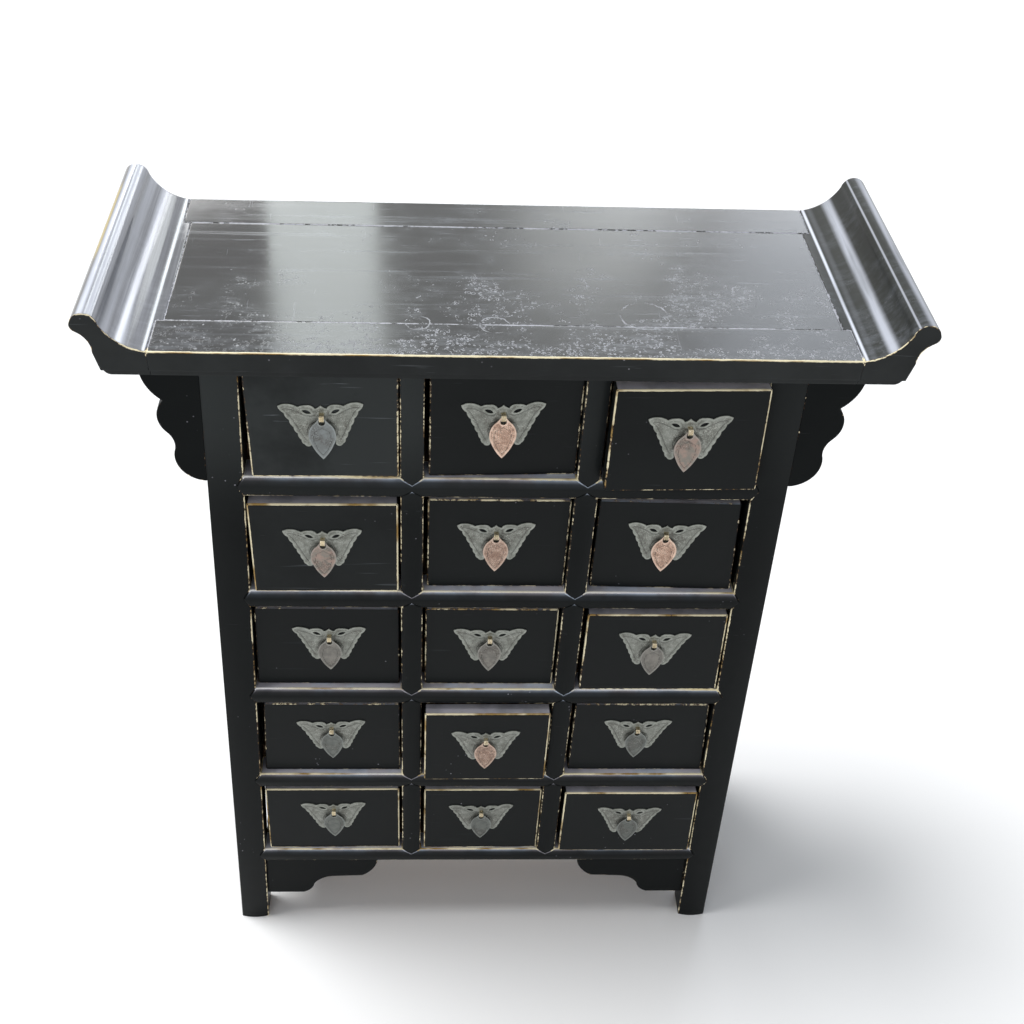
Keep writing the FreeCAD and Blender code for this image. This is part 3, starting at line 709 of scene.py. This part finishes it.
def make_floor(half):
    """Pale paper that the camera and reflections see as white, outside the shadow."""
    s = new_material("floor_paper")
    color = s.mix(s.noise(3.0, detail=3.0), (0.88, 0.88, 0.885, 1), (0.90, 0.90, 0.90, 1))
    matt = s.add("ShaderNodeBsdfDiffuse", {"Color": color}).outputs[0]
    white = s.add("ShaderNodeBsdfDiffuse", {"Color": (1, 1, 1, 1)}).outputs[0]
    shown = s.add("ShaderNodeMixShader", {0: seen(s), 1: matt, 2: white}).outputs[0]
    s.add("ShaderNodeOutputMaterial", {"Surface": shown})
    corners = [(-half, -half, 0), (half, -half, 0), (half, half, 0), (-half, half, 0)]
    data = bpy.data.meshes.new("floor")
    data.from_pydata(corners, [], [(0, 1, 2, 3)])
    data.materials.append(s.owner)
    floor = bpy.data.objects.new("floor", data)
    bpy.context.scene.collection.objects.link(floor)


def make_light():
    """A broad soft sun from the upper left, and pale panels behind that the glossy top reflects."""
    bpy.context.scene.view_settings.view_transform = "Standard"
    make_world(0.33)
    make_sun((1.5, -0.35, -3.4), 2.55, 28)
    make_lamp("window_band", (-0.38, WINDOW_Y, 2.48), (-0.1, 0, 0.9), (0.34, 1.05), 3.4, (0.93, 1.0, 0.99))
    for size in (0.16, 0.32, 0.50):
        make_lamp(f"window_soft_{size}", (0.42, WINDOW_Y, 2.22), (0.1, 0, 0.9), (size, size), 2.2,
                  (0.95, 1.0, 1.0), "ELLIPSE")
    for size in (0.30, 0.55, 0.85):
        make_lamp(f"window_right_{size}", (1.24, WINDOW_Y, 2.58), (0.3, 0, 0.9), (size, 1.4 * size), 1.5,
                  (0.80, 0.88, 1.0), "ELLIPSE")
    make_lamp("left_scroll_light", (0.84, WINDOW_Y, 1.97), (-0.36, 0, 0.98), (0.9, 0.30), 4.0,
              (0.93, 0.96, 1.0))
    make_lamp("right_scroll_light", (-0.89, WINDOW_Y, 2.03), (0.36, 0, 0.98), (0.9, 0.30), 5.0)
    make_lamp("front_fill", (-1.8, -3.0, 2.2), (0, 0, 0.5), (1.6, 1.4), 1.7)


def rail_wear(at):
    """A rail's upper arris is worn through, its lower one a little, and its mitres hardly."""
    middle = min(RAIL_Z, key=lambda z: abs(at.z - z))
    off = (at.z - middle) / RAIL_HALF
    return 1.45 if off > 0.8 else 0.6 if off < -0.8 else 0.15


def divider_wear(at):
    """A divider's two long arrises are worn; its pointed ends aren't."""
    off = abs(abs(at.x) - DIVIDER_X) - DIVIDER_HALF
    return 0.62 if abs(off) < 0.0012 else 0.1


def leg_wear(at):
    """A leg's arris at the drawers is worn; the outer one and the back legs' hardly."""
    if at.y > LEG_FRONT_Y:
        return 0.3
    inner = FLOOR_HALF - SPLAY * at.z - LEG
    return 0.75 if abs(abs(at.x) - inner) < 0.003 else 0.25


def top_wear(at):
    """The top's front arris is worn right through, its joints are pale lines, and its underside is whole."""
    if at.z < UNDER_Z:
        return 0.0
    if at.y < TOP_FRONT_Y:
        return 1.35 if at.z > WORN_Z else 0.0
    return 0.85


def scroll_wear(at):
    """The scroll's front arris is a thin worn line, and its joint with the panel a fainter one."""
    if at.y < TOP_FRONT_Y and at.z > WORN_Z:
        return 0.75
    return 0.5 if at.z > JOINT_Z and abs(at.x) < SCROLL_X else 0.0


def make_frame():
    """Legs, rails, dividers, side panels and brackets, all lacquered."""
    black = lacquer("frame_lacquer", 0.0, grey_and_sheen=0.10, shine=0.07, dust=0.65, painted_sheen=1.0, high=0.9)
    quiet = lacquer("side_lacquer", 3.1, grey_and_sheen=0.08, shine=0.05)
    looks = {"legs": (black, leg_wear), "front_rails": (black, rail_wear),
             "front_dividers": (black, divider_wear)}
    for node in ("side_rails", "side_panels", "spandrels", "aprons"):
        looks[node] = (quiet, lambda at: 0.35)
    for node, (material, gain) in looks.items():
        mesh = copy_of(node)
        round_and_wear(mesh, 0.0008, RING, gain)
        keep_in(mesh.verts, *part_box(node))
        piece(node + "_worn", mesh, "carcass", [material], node)


def close_gap(mesh, by):
    """Brings the panel's upper edges out towards its frame."""
    middle = sum(vert.co.y for vert in mesh.verts) / len(mesh.verts)
    for vert in mesh.verts:
        if vert.co.z > TONGUE_Z:
            vert.co.x += math.copysign(by, vert.co.x)
            vert.co.y += math.copysign(by, vert.co.y - middle)


def is_fascia(face):
    """Whether a face of the top is on its front, its back or its underside, and not in a joint."""
    at = face.calc_center_median()
    at_joint = abs(at.y) < JOINTS_Y and abs(at.x) < JOINTS_X
    return not at_joint and (abs(face.normal.y) > 0.7 or face.normal.z < -0.3)


def make_top():
    """The panel, its rails and the scrolled ends."""
    top = top_lacquer("top_lacquer")
    left = top_lacquer("left_scroll_lacquer", scuffed=0.15, brushed=0.1, painted_sheen=0.68,
                       bands=LEFT_BANDS, gold=0.9)
    right = top_lacquer("right_scroll_lacquer", tint=LACQUER_GREEN, gloss=0.20, shine=0.22, scuffed=0.1,
                        brushed=0.08, bands=RIGHT_BANDS)
    fascia = lacquer("fascia_lacquer", 7.7, grey_and_sheen=0.6, shine=0.16, painted_sheen=0.0)
    looks = {"top_panel": (top, top_wear), "top_rails": (top, top_wear),
             "scroll_end_left": (left, scroll_wear), "scroll_end_right": (right, scroll_wear)}
    for node, (material, gain) in looks.items():
        mesh = copy_of(node)
        if node == "top_panel":
            close_gap(mesh, PANEL_REACH)
        whole = mesh.verts[:] + mesh.edges[:] + mesh.faces[:]
        bmesh.ops.bisect_plane(mesh, geom=whole, dist=1e-6, plane_co=(0, 0, CUT_Z), plane_no=(0, 0, 1))
        round_and_wear(mesh, 0.0007, RING, gain)
        keep_in(mesh.verts, *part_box(node))
        for face in mesh.faces:
            face.material_index = int(is_fascia(face))
        piece(node + "_worn", mesh, "carcass", [material, fascia], node)


def make_inside():
    """The back boards, and the bare wood that only an open drawer or a low view shows."""
    mesh = copy_of("back_panels")
    round_and_wear(mesh, 0.0009, RING)
    keep_in(mesh.verts, *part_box("back_panels"))
    boards = bare_wood("back_board_wood", (0.05, 1.0, 1.0), 0.35)
    piece("back_panels_worn", mesh, "carcass", [boards], "back_panels")
    woods = {
        "back_rails": bare_wood("back_rail_wood", (0.08, 1.0, 1.0), 0.40),
        "drawer_runners": bare_wood("runner_wood", (1.0, 0.08, 1.0)),
        "top_battens": bare_wood("batten_wood", (1.0, 0.08, 1.0), 0.30),
    }
    for node, wood in woods.items():
        materials = frame["nodes"][node].data.materials
        materials.clear()
        materials.append(wood)


def front_depth(mesh):
    """How far behind its drawer's front face a point lies."""
    ahead = [face for face in mesh.faces if face.normal.y < -0.9]
    front = min(ahead, key=lambda face: 1e3 * face.calc_center_median().y - face.calc_area())
    point, normal = front.calc_center_median(), front.normal.copy()
    return lambda at: (point - at).dot(normal)


def front_wear(name, depth):
    """How worn a drawer's front is near each of its edges, and nothing behind its front arris."""
    low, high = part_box("drawer_" + name)
    top, bottom, left, right, _ = FRONTS[name]

    def gain(at):
        if depth(at) > FRONT_ARRIS:
            return 0.0
        if high.z - at.z < FRONT_BAND:
            return top
        if at.z - low.z < FRONT_BAND:
            return bottom
        return left if at.x - low.x < high.x - at.x else right
    return gain


def make_drawers():
    """The fifteen drawers, lacquered in front and bare behind."""
    bare = bare_wood("drawer_box_wood", (1.0, 0.08, 1.0))
    for number, name in enumerate(DRAWERS):
        grey = FRONTS[name][4]
        black = lacquer(f"front_lacquer_{name}", 1.7 * number + 5.0, grey_and_sheen=grey, gloss=0.42, painted_sheen=0.2)
        mesh = copy_of("drawer_" + name)
        depth = front_depth(mesh)
        round_and_wear(mesh, 0.0003, 0.0008, front_wear(name, depth), segments=1)
        for face in mesh.faces:
            face.material_index = int(depth(face.calc_center_median()) > FRONT_THICK + 0.0003)
        piece(f"drawer_{name}_worn", mesh, "drawer_" + name, [black, bare], "drawer_" + name)


def plate_of(mesh):
    """The faces of a butterfly plate, without its staple: the island that is least deep."""
    def depth(island):
        ys = [vert.co.y for vert in verts_of(island)]
        return max(ys) - min(ys)
    return min(islands(mesh), key=depth)


def frame_of(origin, across, back):
    """The place of a thing whose x runs across and whose y runs back."""
    across = across.normalized()
    back = (back - across * back.dot(across)).normalized()
    turn = Matrix((across, back, across.cross(back))).transposed().to_4x4()
    return Matrix.Translation(origin) @ turn


def plate_place(mesh):
    """Where a butterfly plate hangs: the middle between its tips, with x to the right one."""
    front = [face for face in plate_of(mesh) if face.normal.y < -0.9]
    normal = sum((face.normal * face.calc_area() for face in front), Vector()).normalized()
    corners = verts_of(front)
    left = min(corners, key=lambda vert: vert.co.x).co
    right = max(corners, key=lambda vert: vert.co.x).co
    return frame_of((left + right) / 2, right - left, -normal)


def leaf_place(name):
    """Where a pull hangs: its hinge, from its joint."""
    joint = next(joint for joint in frame["joints"] if joint["name"] == "swing_" + name)
    across = -Vector(joint["axis"])
    return frame_of(Vector(joint["pos_m"]), across, Vector((0, 0, 1)).cross(across))


def smooth_step(value, low, high):
    t = min(max((value - low) / (high - low), 0.0), 1.0)
    return t * t * (3 - 2 * t)


def near_line(x, z, line, half):
    """One on a line of points, falling to nothing at half away."""
    nearest = 1.0
    for (ax, az), (bx, bz) in zip(line, line[1:]):
        long = (bx - ax) ** 2 + (bz - az) ** 2
        along = min(max(((x - ax) * (bx - ax) + (z - az) * (bz - az)) / long, 0.0), 1.0)
        nearest = min(nearest, math.hypot(x - ax - along * (bx - ax), z - az - along * (bz - az)))
    return 1.0 - smooth_step(nearest, half * 0.3, half)


def engraving(lines, half):
    """How deep the lines, drawn on both sides, are cut at a point."""
    scaled = [[(x / 1000, z / 1000) for x, z in line] for line in lines]
    return lambda x, z: max(near_line(abs(x), z, line, half) for line in scaled)


def cut_net(mesh, corners, y_front):
    """Cuts the sheet's front, which has these corners, along a square net."""
    for axis in (0, 2):
        plane_normal = [int(i == axis) for i in range(3)]
        values = [vert.co[axis] for vert in corners]
        at = min(values) + NET
        while at < max(values) - NET / 4:
            near = []
            for face in mesh.faces:
                if face.normal.y < -0.9 and face.calc_center_median().y < y_front + NEAR_FRONT:
                    reach = [vert.co[axis] for vert in face.verts]
                    if min(reach) < at < max(reach):
                        near.append(face)
            bmesh.ops.bisect_plane(mesh, geom=near + edges_of(near) + verts_of(near), dist=1e-6,
                                   plane_co=[at * i for i in plane_normal], plane_no=plane_normal)
            at += NET


def relief(mesh, rim, sink, hollow):
    """Gives a thin sheet's front a rim that stands proud of a sunk field, and engraved lines.

    hollow(x, z) is how deep a line is there, from 0 to 1."""
    wear = mesh.verts.layers.float.new("wear")
    front = [face for face in mesh.faces if face.normal.y < -0.9]
    corners = verts_of(front)
    y_front = sum(vert.co.y for vert in corners) / len(corners)
    outline = rim_of(front)
    starts = np.array([edge.verts[0].co.xz for edge in outline])
    spans = np.array([edge.verts[1].co.xz for edge in outline]) - starts
    longs = (spans ** 2).sum(1)
    bmesh.ops.triangulate(mesh, faces=front)
    cut_net(mesh, corners, y_front)
    for vert in mesh.verts:
        if vert.co.y > y_front + NEAR_FRONT:
            continue
        at = np.array(vert.co.xz)
        along = np.clip(((at - starts) * spans).sum(1) / longs, 0, 1)
        away = float(np.linalg.norm(starts + along[:, None] * spans - at, axis=1).min())
        inward = smooth_step(away, rim * 0.7, rim * 1.5)
        line = hollow(vert.co.x, vert.co.z) * inward
        edge = 1.0 - smooth_step(away, 0.0, rim * 0.5)
        vert.co.y += sink * (inward + 0.5 * line + 0.45 * edge)
        vert[wear] = 1.0 - inward - line


def template(mesh, place, rim, sink, hollow):
    """The relief of one plate or leaf, as a mesh in its own place; the others are set from it."""
    mesh.transform(place.inverted())
    relief(mesh, rim, sink, hollow)
    data = bpy.data.meshes.new("template")
    mesh.to_mesh(data)
    mesh.free()
    return data


def plate_template():
    mesh = copy_of("butterfly_r1c1")
    place = plate_place(mesh)
    plate = set(plate_of(mesh))
    staple = [face for face in mesh.faces if face not in plate]
    bmesh.ops.delete(mesh, geom=staple, context="FACES")
    return template(mesh, place, 0.0016, 0.0003, engraving(WING_LINES, 0.0008))


def leaf_template():
    return template(copy_of("pull_r1c1"), leaf_place("r1c1"), 0.0013, 0.0002, engraving(LEAF_LINES, 0.0006))


def add_from(mesh, data, place):
    """Adds a template to a mesh, set in its place."""
    copy = data.copy()
    copy.transform(place)
    mesh.from_mesh(copy)
    bpy.data.meshes.remove(copy)


def make_plate(name, relief_plate, metals):
    """A butterfly plate, with the staple that its pull hangs on."""
    node = "butterfly_" + name
    mesh = copy_of(node)
    place = plate_place(mesh)
    bmesh.ops.delete(mesh, geom=plate_of(mesh), context="FACES")
    round_and_wear(mesh, 0.0002, 0.0006, even=False)
    for face in mesh.faces:
        face.material_index = 1
    add_from(mesh, relief_plate, place)
    piece(node + "_worn", mesh, "drawer_" + name, metals, node)


def make_pull(name, relief_leaf, seed):
    light, dark, rim, engraved = LEAF_LOOKS[name]
    metal = aged_metal(f"leaf_{name}", light, dark, rim, seed, engraved)
    mesh = bmesh.new()
    add_from(mesh, relief_leaf, leaf_place(name))
    piece(f"pull_{name}_worn", mesh, "pull_" + name, [metal], "pull_" + name)


def make_brass():
    """The butterfly plates and their staples, and the leaf pulls."""
    pewter = aged_metal("plate_pewter_brass", *PEWTER, seed=0.0, engraved=0.5, shown=0.1)
    brass = aged_metal("staple_brass", *BRASS, seed=3.0, metal=0.9)
    relief_plate, relief_leaf = plate_template(), leaf_template()
    for number, name in enumerate(DRAWERS):
        make_plate(name, relief_plate, [pewter, brass])
        make_pull(name, relief_leaf, 2.3 * number)


make_camera()
make_light()
make_floor(40.0)
make_frame()
make_top()
make_inside()
make_drawers()
make_brass()
